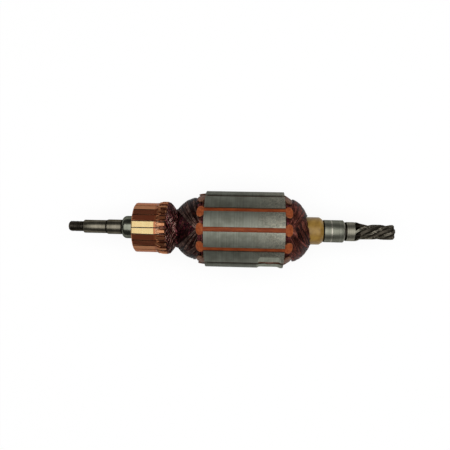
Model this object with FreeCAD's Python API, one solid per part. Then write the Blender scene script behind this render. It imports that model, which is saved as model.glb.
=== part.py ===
import FreeCAD, Part
import math
import os

from FreeCAD import Vector

# Motor armature. Lengths in millimetres, angles in degrees.
# The shaft lies along X with the pinion at the +X end. While it is modelled, x = 0 is the middle of the
# core and the axis is at z = 0. At the end everything is moved so that z = 0 is the surface that the
# core lies on and x = 0 is the middle of the overall length.
# An angle round the axis is 0 straight up (+Z) and grows towards -Y.

# Core of stamped laminations
core_length = 51.4
core_diameter = 51.2
slot_count = 12
slot_mouth = 3.0
lip_height = 1.1
lip_slope = 0.5
yoke_thickness = 4.35
tooth_width = 5.2

# Balancing cut, made by a disc cutter on the outside of the core
balance_angle = 67.5
balance_depth = 1.25
balance_length = 17.0
balance_middle = 16.5

# Insulation between core, wires and shaft
sleeve_diameter = 18.5
sleeve_front_reach = 26.4
sleeve_rear_reach = 23.3
sleeve_chamfer_length = 2.3
sleeve_end_diameter = 15.4
end_fibre_thickness = 0.8
end_fibre_setback = 3.0
liner_thickness = 0.35
liner_reach = 2.0
wedge_thickness = 0.9
wedge_side_gap = 0.15
fit_gap = 0.05

# Tabs at the ends of the slot wedges, which bend down over the coil heads
tab_length = 5.6
tab_width = 7.8
tab_slope = 23.0
tab_neck = 0.8
tab_round = 3.0

# Coil heads and coil sides
coil_start_reach = 2.3
coil_shoulder_setback = 4.4
rear_head_reach = 20.2
rear_neck_build = 3.05
front_head_reach = 17.5
dome_power = 2.6
bundle_depth = 1.5
bundle_turn = 75.0
coil_gap = 0.1
coil_span = 5
top_coil_width = 7.6
top_coil_slot_width = 4.4
top_coil_thickness = 3.0
top_coil_peak = 0.8
top_coil_rise = 1.0
top_coil_slot = 0.0

# Commutator
bar_count = 24
commutator_diameter = 33.9
commutator_length = 22.9
commutator_gap = 25.3
track_length = 14.9
track_wear = 0.15
bar_gap = 0.6
bar_chamfer = 0.9
bar_height = 3.2
undercut = 0.9
foot_height = 1.8
foot_width = 2.2
waist_width = 1.3
hub_rear_reach = 1.4
hub_shoulder_step = 0.6
hook_length = 6.3
hook_width = 1.7
hook_thickness = 0.85
hook_bend = 0.8
hook_touch_length = 1.1
hooked_diameter = 35.7
hook_seat_step = 0.5

# Lead wires between the hooks and the coil heads
lead_diameter = 0.8
lead_skew = 20.0
neck_length = 1.3

# Shaft, from the threaded end to the pinion
thread_diameter = 7.0
thread_length = 10.5
thread_end_radius = 1.2
fan_seat_diameter = 9.0
fan_seat_length = 16.0
rear_bearing_diameter = 10.0
rear_bearing_length = 11.3
rear_groove_width = 0.9
groove_depth = 0.35
seat_chamfer = 0.6
shaft_body_diameter = 12.0
collar_wall = 1.7
collar_length = 9.0
collar_corner = 1.5
front_groove_width = 0.8
front_bearing_diameter = 15.0
front_bearing_length = 13.2
front_bearing_chamfer = 0.5
relief_width = 1.2
neck_diameter = 12.8
pinion_neck_length = 6.9

# Helical pinion, cut into the end of the shaft
tooth_count = 5
pinion_diameter = 10.0
pinion_length = 26.1
pinion_blank_start = 1.6
pinion_blank_taper = 2.3
pinion_root_diameter = 6.6
pinion_pitch_diameter = 8.2
helix_lead = 59.0
tooth_phase = -11.9
root_half_angle = 11.0
pitch_half_angle = 17.0
tip_half_angle = 26.0
outside_half_angle = 28.0
pinion_end_chamfer = 0.5

# Places along the shaft, worked out from the lengths
core_half = core_length / 2
core_radius = core_diameter / 2
slot_pitch = 360.0 / slot_count
bar_pitch = 360.0 / bar_count
sleeve_radius = sleeve_diameter / 2
shoulder_radius = core_radius - coil_shoulder_setback
slot_bottom = sleeve_radius + yoke_thickness
rear_neck_radius = sleeve_radius + rear_neck_build
bar_radius = commutator_diameter / 2
commutator_rear = -core_half - commutator_gap
commutator_front = commutator_rear - commutator_length
collar_start = commutator_front - collar_length
rear_bearing_start = collar_start - rear_bearing_length
fan_seat_start = rear_bearing_start - fan_seat_length
shaft_start = fan_seat_start - thread_length
sleeve_end = core_half + sleeve_front_reach
front_bearing_start = sleeve_end + front_groove_width
front_bearing_end = front_bearing_start + front_bearing_length
gash_start = front_bearing_end + pinion_neck_length
shaft_end = gash_start + pinion_length
axis_height = math.sqrt(core_radius ** 2 - (slot_mouth / 2) ** 2)
middle = (shaft_start + shaft_end) / 2
origin = Vector(0, 0, 0)
along = Vector(1, 0, 0)


def turned(points):
    """Solid of revolution about the axis from (x, radius) corner points."""
    corners = [Vector(x, 0, r) for x, r in points]
    outline = Part.makePolygon(corners + corners[:1])
    return Part.Face(outline).revolve(origin, along, 360)


def ring(start, end, inner, outer):
    return turned([(start, inner), (end, inner), (end, outer), (start, outer)])


def around(shape, angle):
    """Copy of a shape turned about the axis."""
    copy = shape.copy()
    copy.rotate(origin, along, angle)
    return copy


def prism(points, start, end):
    """Straight solid along X from (y, z) corner points."""
    corners = [Vector(start, y, z) for y, z in points]
    outline = Part.makePolygon(corners + corners[:1])
    return Part.Face(outline).extrude(Vector(end - start, 0, 0))


def shaft():
    thread = thread_diameter / 2
    fan = fan_seat_diameter / 2
    rear = rear_bearing_diameter / 2
    body = shaft_body_diameter / 2
    front = front_bearing_diameter / 2
    neck = neck_diameter / 2
    tip = pinion_diameter / 2
    groove = sleeve_end_diameter / 2 - groove_depth - (sleeve_end_diameter - front_bearing_diameter) / 2
    blank_end = gash_start + pinion_blank_start
    points = [
        (shaft_start, 0),
        (shaft_start, thread - thread_end_radius),
        (shaft_start + thread_end_radius, thread),
        (fan_seat_start, thread),
        (fan_seat_start, fan - seat_chamfer / 2),
        (fan_seat_start + seat_chamfer / 2, fan),
        (rear_bearing_start, fan),
        (rear_bearing_start + seat_chamfer, rear),
        (collar_start - rear_groove_width, rear),
        (collar_start - rear_groove_width, rear - groove_depth),
        (collar_start, rear - groove_depth),
        (collar_start, body),
        (sleeve_end, body),
        (sleeve_end, groove),
        (front_bearing_start, groove),
        (front_bearing_start, front),
        (front_bearing_end - front_bearing_chamfer, front),
        (front_bearing_end, front - front_bearing_chamfer),
        (front_bearing_end, neck - groove_depth),
        (front_bearing_end + relief_width, neck - groove_depth),
        (front_bearing_end + relief_width, neck),
        (blank_end, neck),
        (blank_end + pinion_blank_taper, tip),
        (shaft_end - pinion_end_chamfer, tip),
        (shaft_end, tip - pinion_end_chamfer),
        (shaft_end, 0),
    ]
    return turned(points).cut([gash(k) for k in range(tooth_count)])


def polar(x, radius, angle):
    turn = math.radians(angle)
    return Vector(x, -radius * math.sin(turn), radius * math.cos(turn))


def gash(index):
    """One tooth space: its section is carried along the axis while it turns with the left-hand helix."""
    root = pinion_root_diameter / 2
    pitch = pinion_pitch_diameter / 2
    tip = pinion_diameter / 2
    outside = neck_diameter / 2 + 1
    overrun = 1.0
    run = shaft_end + overrun - gash_start
    tooth_pitch = 360.0 / tooth_count
    end_turn = 360.0 * pinion_length / helix_lead
    middle_angle = tooth_phase + tooth_pitch * (index + 0.5) + end_turn

    flank = [
        (root, root_half_angle),
        (pitch, pitch_half_angle),
        (tip, tip_half_angle),
        (outside, outside_half_angle),
    ]
    flank += [(radius, -half) for radius, half in reversed(flank)]
    corners = [polar(gash_start, radius, middle_angle + half) for radius, half in flank]
    section = Part.makePolygon(corners + corners[:1])
    spine = Part.Wire(Part.LineSegment(Vector(gash_start, 0, 0), Vector(gash_start + run, 0, 0)).toShape())
    helix = Part.makeHelix(helix_lead, run, pitch, 0, True)
    helix.rotate(origin, Vector(0, 1, 0), 90)
    helix.translate(Vector(gash_start, 0, 0))
    sweep = Part.BRepOffsetAPI.MakePipeShell(spine)
    sweep.setAuxiliarySpine(Part.Wire(helix.Edges), True, 0)
    sweep.add(section)
    sweep.build()
    sweep.makeSolid()
    return sweep.shape()


def slot_half_width(radius):
    """Half the slot's width where the teeth beside it keep their width."""
    half_pitch = math.radians(slot_pitch / 2)
    return radius * math.tan(half_pitch) - tooth_width / 2 / math.cos(half_pitch)


def slot_section(inset):
    """Corner points (y, z) of the slot below its lips, drawn in by an inset all round."""
    top = core_radius - lip_height - lip_slope - inset
    bottom = slot_bottom + inset
    top_half = slot_half_width(top) - inset
    bottom_half = slot_half_width(bottom) - inset
    return [(-top_half, top), (-bottom_half, bottom), (bottom_half, bottom), (top_half, top)]


def slot_cut():
    """All that one slot takes out of the core: mouth, sloped lips and winding space."""
    mouth = slot_mouth / 2
    lip_under = core_radius - lip_height
    outline = [(-mouth, core_radius + 1), (-mouth, lip_under)] + slot_section(0)
    outline += [(mouth, lip_under), (mouth, core_radius + 1)]
    return prism(outline, -core_half - 1, core_half + 1)


def core_stack():
    body = ring(-core_half, core_half, sleeve_radius, core_radius)
    slot = slot_cut()
    cuts = [around(slot, k * slot_pitch) for k in range(slot_count)]
    cutter_radius = (balance_length ** 2 / 4 + balance_depth ** 2) / (2 * balance_depth)
    reach = core_radius - balance_depth + cutter_radius
    cutter = Part.makeCylinder(
        cutter_radius, core_diameter, Vector(balance_middle, -core_radius, reach), Vector(0, 1, 0)
    )
    return body.cut(cuts + [around(cutter, balance_angle)])


def end_fibre(side):
    """Star-shaped insulating plate on one end face of the core, with a straight end on each arm."""
    near = side * core_half
    far = side * (core_half + end_fibre_thickness)
    reach = core_radius - end_fibre_setback
    corners = [polar(0, reach, slot_pitch * k) for k in range(slot_count)]
    plate = prism([(c.y, c.z) for c in corners], min(near, far), max(near, far))
    section = slot_section(0)
    half = section[-1][0]
    outline = [(-half, core_radius)] + section + [(half, core_radius)]
    slot = prism(outline, min(near, far) - 1, max(near, far) + 1)
    hole = ring(min(near, far) - 1, max(near, far) + 1, 0, sleeve_radius)
    return plate.cut([hole] + [around(slot, k * slot_pitch) for k in range(slot_count)])


def tab_radius(distance):
    """Radius of a tab's upper face at a distance outwards from the core's end face."""
    start = core_radius - lip_height - lip_slope - fit_gap
    return start - distance * math.tan(math.radians(tab_slope))


def above_wires(gap):
    """Space above the wires of the upper slot: the wedge and its leaning tabs, and a gap below them."""
    thick = wedge_thickness / math.cos(math.radians(tab_slope)) + gap
    reach = tab_length + coil_start_reach
    side = [
        (core_half, tab_radius(0) - wedge_thickness - gap),
        (core_half, tab_radius(0) - thick),
        (core_half + reach, tab_radius(reach) - thick),
        (core_half + reach, core_radius),
    ]
    corners = side + [(-x, r) for x, r in reversed(side)]
    outline = Part.makePolygon([Vector(x, -core_radius, r) for x, r in corners + corners[:1]])
    return Part.Face(outline).extrude(Vector(0, core_diameter, 0))


def slot_liner():
    """Folded sheet round three sides of the slot, with a cuff that stands out at each end."""
    reach = core_half + liner_reach
    shell = prism(slot_section(fit_gap), -reach, reach)
    hollow = prism(slot_section(fit_gap + liner_thickness), -reach - 1, reach + 1)
    return shell.cut([hollow, above_wires(fit_gap)])


def coil_side():
    """The wires of one slot, packed together, up to where the coil heads start."""
    reach = core_half + coil_start_reach
    bundle = prism(slot_section(fit_gap + liner_thickness + coil_gap), -reach, reach)
    return bundle.cut(above_wires(coil_gap))


def wedge_tab():
    """Rounded end of a slot wedge, which leans inwards over the coil head."""
    slope = math.radians(tab_slope)
    half = tab_width / 2
    neck = slot_half_width(tab_radius(0) - wedge_thickness) - wedge_side_gap
    neck_length = end_fibre_thickness / math.cos(slope) + fit_gap
    side = [(0, neck), (neck_length, neck), (neck_length + tab_neck, half)]
    for turn in (0, 35, 70):
        swing = math.radians(turn)
        side.append((tab_length - tab_round * (1 - math.sin(swing)), half * math.cos(swing)))
    top = tab_radius(0)
    hinge = Vector(core_half, 0, top)
    corners = [Vector(core_half + x, y, top) for x, y in side + [(x, -y) for x, y in reversed(side)]]
    outline = Part.makePolygon(corners + corners[:1])
    plate = Part.Face(outline).extrude(Vector(0, 0, -wedge_thickness))
    plate.rotate(hinge, Vector(0, 1, 0), tab_slope)
    return plate


def slot_wedge():
    top = tab_radius(0)
    half = slot_half_width(top) - wedge_side_gap
    low = top - wedge_thickness
    low_half = slot_half_width(low) - wedge_side_gap
    strip = prism([(-half, top), (half, top), (low_half, low), (-low_half, low)], -core_half, core_half)
    tab = wedge_tab()
    return strip.fuse([tab, tab.mirror(origin, along)]).removeSplitter()


def skin(sections):
    """Closed solid from flat triangles between closed sections with equal numbers of corners."""
    faces = []
    count = len(sections[0])
    for first, second in zip(sections, sections[1:]):
        for k in range(count):
            after = (k + 1) % count
            for corners in (
                (first[k], first[after], second[after]),
                (first[k], second[after], second[k]),
            ):
                faces.append(Part.Face(Part.makePolygon(list(corners) + [corners[0]])))
    for cap in (sections[0], sections[-1]):
        centre = sum(cap[1:], cap[0]) * (1.0 / count)
        for k in range(count):
            corners = [cap[k], cap[(k + 1) % count], centre, cap[k]]
            faces.append(Part.Face(Part.makePolygon(corners)))
    solid = Part.Solid(Part.Shell(faces))
    if solid.Volume < 0:
        solid.reverse()
    return solid


def head_radius(share, end_radius):
    """Outer radius of the domed coil head, share = 0 beside the core and 1 at its outer end."""
    return end_radius + (shoulder_radius - end_radius) * (1 - share ** dome_power)


def under_coils(side, reach, end_radius):
    """Domed pile of the coils that were wound first, with bundles that spiral towards the shaft."""
    start = core_half + coil_start_reach
    length = reach - coil_start_reach
    points_per_bundle = 2
    point_count = slot_count * points_per_bundle
    sections = []
    for share in (0.0, 0.35, 0.65, 0.85, 1.0):
        radius = head_radius(share, end_radius) - top_coil_rise * math.sin(math.pi * share) ** 0.5
        turn = side * bundle_turn * share
        corners = []
        for k in range(point_count):
            valley = bundle_depth * (1 - share) if k % points_per_bundle == 0 else 0
            angle = 360.0 * k / point_count + slot_pitch / 2 + turn
            corners.append(polar(side * (start + share * length), radius - valley, angle))
        sections.append(corners)
    return skin(sections)


def top_coil(side, reach, end_radius, slot_angle):
    """One of the two coils wound last: a flat bundle that arches over the pile from slot to slot."""
    start = core_half + coil_start_reach
    length = reach - coil_start_reach
    steps = 7
    peak_step = (steps - 1) / 2
    half_thickness = top_coil_thickness / 2
    middles = []
    for i in range(steps):
        share = top_coil_peak * math.sin(math.pi * i / (steps - 1)) ** 0.7
        radius = head_radius(share, end_radius) - half_thickness
        angle = slot_angle - slot_pitch * coil_span * i / (steps - 1)
        middles.append(polar(side * (start + share * length), radius, angle))
    sections = []
    for i, centre in enumerate(middles):
        forward = middles[min(i + 1, steps - 1)] - middles[max(i - 1, 0)]
        lean = side * i * (steps - 1 - i) / peak_step ** 2
        outwards = Vector(lean, centre.y / shoulder_radius, centre.z / shoulder_radius)
        across = forward.cross(outwards).normalize()
        up = across.cross(forward).normalize()
        bulge = math.sin(math.pi * i / (steps - 1))
        half_width = (top_coil_slot_width + (top_coil_width - top_coil_slot_width) * bulge) / 2
        corners = []
        for k in range(6):
            turn = math.radians(60 * k)
            sideways = across * (half_width * math.cos(turn))
            corners.append(centre + sideways + up * (half_thickness * math.sin(turn)))
        sections.append(corners)
    return skin(sections)


def coil_head(side, reach, end_radius):
    """Coil heads on one side of the core, fitted round the sleeve."""
    pile = under_coils(side, reach, end_radius)
    last = [top_coil(side, reach, end_radius, angle) for angle in (top_coil_slot, top_coil_slot + 180)]
    heads = pile.fuse(last)
    near = core_half + coil_start_reach
    far = core_half + reach
    room = ring(near, far, sleeve_radius, core_radius)
    if side < 0:
        room = room.mirror(origin, along)
    return heads.common(room)


def commutator_bar():
    """One copper bar with its dovetail foot, worn track, hook seat and folded hook."""
    half_pitch = math.radians(bar_pitch / 2)
    side_gap = bar_gap / 2 / math.cos(half_pitch)

    def half(radius):
        return radius * math.tan(half_pitch) - side_gap

    base = bar_radius - bar_height
    foot = base - foot_height
    outline = [
        (half(base), base),
        (half(bar_radius + 1), bar_radius + 1),
        (-half(bar_radius + 1), bar_radius + 1),
        (-half(base), base),
        (-waist_width / 2, base),
        (-foot_width / 2, foot),
        (foot_width / 2, foot),
        (waist_width / 2, base),
    ]
    bar_end = commutator_rear - hook_thickness
    track_end = commutator_front + track_length
    seat_start = commutator_rear - hook_length
    seat = bar_radius - hook_seat_step
    corner = half(bar_radius)
    chamfer_foot = commutator_front + bar_chamfer - track_wear
    riser = bar_radius * math.cos(half_pitch)
    blank = prism(outline, commutator_front, bar_end)
    side = [
        (commutator_front, foot),
        (commutator_front, bar_radius - bar_chamfer),
        (chamfer_foot, bar_radius - track_wear),
        (chamfer_foot, bar_radius),
        (track_end, bar_radius),
        (track_end, riser),
        (seat_start, riser),
        (seat_start, seat),
        (bar_end, seat),
        (bar_end, foot),
    ]
    corners = [Vector(x, -corner - 1, r) for x, r in side]
    side_view = Part.Face(Part.makePolygon(corners + corners[:1])).extrude(Vector(0, 2 * corner + 2, 0))
    worn = around(ring(commutator_front - 1, track_end, bar_radius - track_wear, bar_radius + 1), 180)
    return blank.common(side_view).cut(worn).fuse(hook(seat, base)).removeSplitter()


def hook(seat, root):
    """Tongue at the rear of a bar, folded forwards over the wire and pressed down at its tip."""
    rear = commutator_rear
    top = hooked_diameter / 2
    under = top - hook_thickness
    tip = rear - hook_length
    corners = [
        Vector(rear, 0, root),
        Vector(rear, 0, top - hook_bend),
        Vector(rear - hook_bend, 0, top),
        Vector(tip + 2 * hook_touch_length, 0, top),
        Vector(tip, 0, seat + hook_thickness),
        Vector(tip, 0, seat),
        Vector(tip + hook_touch_length, 0, seat),
        Vector(tip + 2 * hook_touch_length, 0, under),
        Vector(rear - hook_thickness, 0, under),
        Vector(rear - hook_thickness, 0, root),
    ]
    face = Part.Face(Part.makePolygon(corners + corners[:1]))
    face.translate(Vector(0, -hook_width / 2, 0))
    return face.extrude(Vector(0, hook_width, 0))


def commutator_hub(bars):
    """Moulded hub with thin webs that stand between the bars."""
    base = bar_radius - bar_height
    hub_end = commutator_rear + hub_rear_reach
    web_end = commutator_rear - hook_thickness
    web_top = bar_radius - undercut
    body = turned([
        (commutator_front, shaft_body_diameter / 2),
        (hub_end, shaft_body_diameter / 2),
        (hub_end, base - hub_shoulder_step),
        (web_end, base - hub_shoulder_step),
        (web_end, web_top),
        (commutator_front, web_top),
    ])
    return body.cut(bars)


def commutator_leads():
    """Wires that run from the hooks to the neck beside the coil heads, and the turns round that neck."""
    rear_end = -core_half - rear_head_reach
    neck_start = rear_end - neck_length
    start_x = commutator_rear + fit_gap
    start_radius = bar_radius - hook_seat_step
    room = ring(start_x, neck_start, shaft_body_diameter / 2, core_radius)
    corners = [polar(0, rear_neck_radius, bar_pitch * k) for k in range(bar_count)]
    turns = prism([(c.y, c.z) for c in corners], neck_start, rear_end)
    solids = [turns.cut(ring(neck_start - 1, rear_end + 1, 0, sleeve_radius))]
    overrun = 0.5
    for k in range(bar_count):
        angle = bar_pitch * (k + 0.5)
        first = polar(start_x, start_radius, angle)
        last = polar(neck_start, rear_neck_radius - lead_diameter, angle + lead_skew)
        run = last - first
        across = run.cross(polar(0, 1, angle)).normalize() * (lead_diameter / 2)
        up = across.cross(run).normalize() * (lead_diameter / 2)
        start = first - run * overrun
        swings = [math.radians(60 * n) for n in range(6)]
        corners = [start + across * math.cos(t) + up * math.sin(t) for t in swings]
        wire = Part.Face(Part.makePolygon(corners + corners[:1])).extrude(run * (1 + 2 * overrun))
        solids.append(wire.common(room))
    return Part.makeCompound(solids)


def bearing_spacer_collar():
    """Steel ring with its outer corner bevelled off."""
    inner = shaft_body_diameter / 2
    outer = inner + collar_wall
    return turned([
        (commutator_front, inner),
        (collar_start, inner),
        (collar_start, outer - collar_corner),
        (collar_start + collar_corner, outer),
        (commutator_front, outer),
    ])


def insulating_sleeve():
    inner = shaft_body_diameter / 2
    return turned([
        (-core_half - sleeve_rear_reach, inner),
        (sleeve_end, inner),
        (sleeve_end, sleeve_end_diameter / 2),
        (sleeve_end - sleeve_chamfer_length, sleeve_radius),
        (-core_half - sleeve_rear_reach, sleeve_radius),
    ])


def build():
    nodes = {
        "shaft": shaft(),
        "bearing_spacer_collar": bearing_spacer_collar(),
        "insulating_sleeve": insulating_sleeve(),
        "core_stack": core_stack(),
        "end_fibre_rear": end_fibre(-1),
        "end_fibre_front": end_fibre(1),
        "rear_coil_heads": coil_head(-1, rear_head_reach, rear_neck_radius),
        "front_coil_heads": coil_head(1, front_head_reach, sleeve_radius),
        "commutator_leads": commutator_leads(),
    }
    bar = commutator_bar()
    bars = [around(bar, bar_pitch * (k + 0.5)) for k in range(bar_count)]
    for k, copy in enumerate(bars):
        nodes["commutator_bar_%02d" % (k + 1)] = copy
    nodes["commutator_hub"] = commutator_hub(bars)
    wedge = slot_wedge()
    liner = slot_liner()
    side = coil_side()
    sides = []
    for k in range(slot_count):
        nodes["slot_wedge_%02d" % (k + 1)] = around(wedge, k * slot_pitch)
        nodes["slot_liner_%02d" % (k + 1)] = around(liner, k * slot_pitch)
        sides.append(around(side, k * slot_pitch))
    nodes["coil_sides"] = Part.makeCompound(sides)
    return nodes


os.makedirs("parts", exist_ok=True)
for name, shape in build().items():
    shape.translate(Vector(-middle, 0, axis_height))
    shape.exportStep("parts/%s.step" % name)
    print(name, len(shape.Solids), round(shape.Volume, 1), shape.isValid())
print("overall length", round(shaft_end - shaft_start, 2), "axis height", round(axis_height, 3))
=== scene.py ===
import math
import random

import bpy
from mathutils import Matrix, Vector


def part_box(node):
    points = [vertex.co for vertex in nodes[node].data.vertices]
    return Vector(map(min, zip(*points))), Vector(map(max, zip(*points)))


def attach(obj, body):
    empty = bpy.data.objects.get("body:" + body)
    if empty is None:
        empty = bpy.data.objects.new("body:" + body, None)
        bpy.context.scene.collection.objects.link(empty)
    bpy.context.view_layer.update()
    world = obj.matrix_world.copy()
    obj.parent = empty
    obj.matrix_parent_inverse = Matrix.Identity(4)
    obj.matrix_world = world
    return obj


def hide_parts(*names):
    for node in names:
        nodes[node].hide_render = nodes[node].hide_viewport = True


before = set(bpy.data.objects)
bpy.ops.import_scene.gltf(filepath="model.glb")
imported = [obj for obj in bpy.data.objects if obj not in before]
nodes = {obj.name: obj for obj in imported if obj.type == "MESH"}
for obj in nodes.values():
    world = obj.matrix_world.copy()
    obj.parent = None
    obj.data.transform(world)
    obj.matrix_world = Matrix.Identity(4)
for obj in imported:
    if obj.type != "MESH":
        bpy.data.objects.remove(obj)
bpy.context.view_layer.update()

mm = 0.001

# places along the shaft count from the middle of the core, and radii from the shaft's axis, both in mm
coreLow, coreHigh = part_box("core_stack")
collarLow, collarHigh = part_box("bearing_spacer_collar")
coreMiddle = (coreLow[0] + coreHigh[0]) / 2 / mm
coreHalf = (coreHigh[0] - coreLow[0]) / 2 / mm
axisHeight = (collarLow[2] + collarHigh[2]) / 2 / mm


def alongShaft(place):
    return place[0] / mm - coreMiddle


def fromAxis(place):
    return math.hypot(place[1], place[2] - axisHeight * mm) / mm


def aroundShaft(x, radius, angle):
    # 0 degrees is straight up, and the angle grows towards -Y
    turn = math.radians(angle)
    across = -radius * mm * math.sin(turn)
    return Vector(((x + coreMiddle) * mm, across, (axisHeight + radius * math.cos(turn)) * mm))


def shaftTurn(angle):
    centre = Vector((0, 0, axisHeight * mm))
    turn = Matrix.Rotation(math.radians(angle), 4, "X")
    return Matrix.Translation(centre) @ turn @ Matrix.Translation(-centre)


def linearColour(hexColour):
    channels = [int(hexColour[i:i + 2], 16) / 255 for i in (1, 3, 5)]
    return [c / 12.92 if c <= 0.04045 else ((c + 0.055) / 1.055) ** 2.4 for c in channels] + [1.0]


def addNode(tree, kind, settings=None, links=None):
    # a text for a socket is a hex colour, and a node as a link's source stands for its first output
    node = tree.nodes.new("ShaderNode" + kind)
    for key, value in (settings or {}).items():
        if key == "ramp":
            ramp = node.color_ramp
            while len(ramp.elements) < len(value):
                ramp.elements.new(0.5)
            for element, (place, colour) in zip(ramp.elements, value):
                element.position = place
                element.color = linearColour(colour)
        elif isinstance(key, str) and hasattr(node, key):
            setattr(node, key, value)
        else:
            node.inputs[key].default_value = linearColour(value) if isinstance(value, str) else value
    for socket, source in (links or {}).items():
        if isinstance(source, bpy.types.Node):
            source = source.outputs[0]
        tree.links.new(source, node.inputs[socket])
    return node


def newMaterial(name):
    material = bpy.data.materials.new(name)
    material.use_nodes = True
    tree = material.node_tree
    tree.nodes.clear()
    return material, tree


def finishMaterial(material, shader):
    addNode(material.node_tree, "OutputMaterial", {}, {"Surface": shader})
    return material


def groundSteel(name, look):
    # carbon steel, turned or ground: neutral grey, with fine rings round the shaft and stains of dried oil
    aroundScale = 12  # the rings hardly change on their way round
    material, tree = newMaterial(name)
    place = addNode(tree, "TexCoord").outputs["Object"]
    ringScale = (1 / (look["ring"] * mm), aroundScale, aroundScale)
    rings = addNode(tree, "Mapping", {"Scale": ringScale}, {"Vector": place})
    grain = addNode(tree, "TexNoise", {"Scale": 1.0, "Detail": 3.0, "Roughness": 0.6}, {"Vector": rings})
    stains = addNode(tree, "TexNoise", {"Scale": 1 / (look["stainSize"] * mm), "Detail": 4.0},
                     {"Vector": place})
    tone = addNode(tree, "ValToRGB", {"ramp": [(0.3, look["dark"]), (0.72, look["light"])]}, {0: grain})
    stain = addNode(tree, "ValToRGB", {"ramp": [(0.35, look["stain"]), (0.65, "#ffffff")]}, {0: stains})
    colour = addNode(tree, "Mix", {"data_type": "RGBA", "blend_type": "MULTIPLY", 0: look["stainShare"]},
                     {6: tone, 7: stain})
    bump = addNode(tree, "Bump", {"Strength": look["bump"], "Distance": 0.02 * mm}, {"Height": grain})
    shader = addNode(tree, "BsdfPrincipled",
                     {"Metallic": 1.0, "Roughness": look["roughness"], "Specular Tint": look["edge"]},
                     {"Base Color": colour.outputs[2], "Normal": bump})
    return finishMaterial(material, shader)


# sizes are in mm; the rings are drawn coarser than real turning and grinding marks, so that they show
seatSteel = groundSteel("ground_shaft_steel", {
    "ring": 0.9, "stainSize": 9, "dark": "#5f5b50", "light": "#746f62", "stain": "#8a8478",
    "stainShare": 0.4, "bump": 0.06, "roughness": 0.33, "edge": "#8a8a8a"})
journalSteel = groundSteel("ground_journal_steel", {
    "ring": 0.8, "stainSize": 9, "dark": "#6e6e63", "light": "#86877b", "stain": "#8a8a80",
    "stainShare": 0.3, "bump": 0.08, "roughness": 0.45, "edge": "#b0b0b0"})
neckSteel = groundSteel("turned_neck_steel", {
    "ring": 0.8, "stainSize": 9, "dark": "#7a776b", "light": "#928f82", "stain": "#8a8a80",
    "stainShare": 0.3, "bump": 0.08, "roughness": 0.46, "edge": "#b0b0b0"})
collarSteel = groundSteel("oiled_collar_steel", {
    "ring": 0.9, "stainSize": 7, "dark": "#65675c", "light": "#76786c", "stain": "#6e6e68",
    "stainShare": 0.4, "bump": 0.08, "roughness": 0.24, "edge": "#a0a0a0"})
threadSteel = groundSteel("oiled_thread_steel", {
    "ring": 0.8, "stainSize": 4, "dark": "#3f3a32", "light": "#5a544b", "stain": "#57504a",
    "stainShare": 0.7, "bump": 0.2, "roughness": 0.42, "edge": "#8a8a8a"})
# painted shade: the shaft's grooves and the deep gashes at the pinion's run-out are painted near-black, for
# the shade in them
grooveShadeSteel = groundSteel("painted_groove_shade", {
    "ring": 0.8, "stainSize": 4, "dark": "#221e19", "light": "#332e27", "stain": "#57504a",
    "stainShare": 0.7, "bump": 0.1, "roughness": 0.5, "edge": "#606060"})
# painted highlight: a narrow ring in the front seat and the chamfer at its end are painted bright
ringHighlightSteel = groundSteel("painted_highlight_steel_ring", {
    "ring": 0.8, "stainSize": 9, "dark": "#9a958a", "light": "#b2aea2", "stain": "#8a8a80",
    "stainShare": 0.2, "bump": 0.05, "roughness": 0.4, "edge": "#b0b0b0"})
# painted highlight: the pinion's tooth tips are painted lighter, for the thin highlight lines along them
tipHighlightSteel = groundSteel("painted_tooth_tip_highlight", {
    "ring": 1.4, "stainSize": 3, "dark": "#5e594f", "light": "#6c675c", "stain": "#8a8278",
    "stainShare": 0.3, "bump": 0.03, "roughness": 0.45, "edge": "#909090"})
pinionSteel = groundSteel("oiled_pinion_steel", {
    "ring": 1.4, "stainSize": 3, "dark": "#443f37", "light": "#4e4940", "stain": "#8a8278",
    "stainShare": 0.3, "bump": 0.03, "roughness": 0.55, "edge": "#606060"})
milledSteel = groundSteel("milled_balance_cut", {
    "ring": 0.6, "stainSize": 4, "dark": "#8c8f82", "light": "#a6a99b", "stain": "#9a9a90",
    "stainShare": 0.3, "bump": 0.2, "roughness": 0.5, "edge": "#b0b0b0"})


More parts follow.
